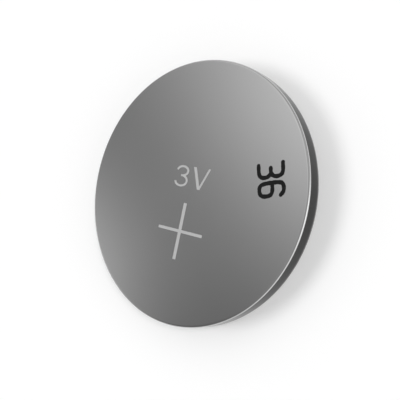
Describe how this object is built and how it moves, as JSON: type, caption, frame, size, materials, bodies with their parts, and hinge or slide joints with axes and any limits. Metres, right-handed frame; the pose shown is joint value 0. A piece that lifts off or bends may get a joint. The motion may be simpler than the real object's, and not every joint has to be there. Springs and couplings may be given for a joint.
{
  "type": "lithium coin cell",
  "caption": "Flat round sealed primary cell: steel can as the positive face and wall, crimped over a gasket onto the negative cap.",
  "frame": {"origin": "centre of the negative face, which the cell lies on", "axes": "+Z along the cell's axis, out of the positive face; +Y is up for the marks on the positive face, +X is to their right"},
  "size_m": [0.02, 0.02, 0.0025],
  "materials": {
    "can_steel": "satin",
    "frosted_steel": "matte",
    "marking_ink": "matte",
    "gasket_plastic": "satin",
    "cap_steel": "satin",
    "ring_steel": "polished",
    "pressed_oxide": "matte",
    "separator_fibre": "matte",
    "lithium_metal": "satin"
  },
  "bodies": {
    "root": {"positive_can": "can_steel", "sealing_gasket": "gasket_plastic", "negative_cap": "cap_steel", "cathode_ring": "ring_steel", "cathode_pellet": "pressed_oxide", "separator": "separator_fibre", "lithium_anode": "lithium_metal"}
  },
  "joints": []
}
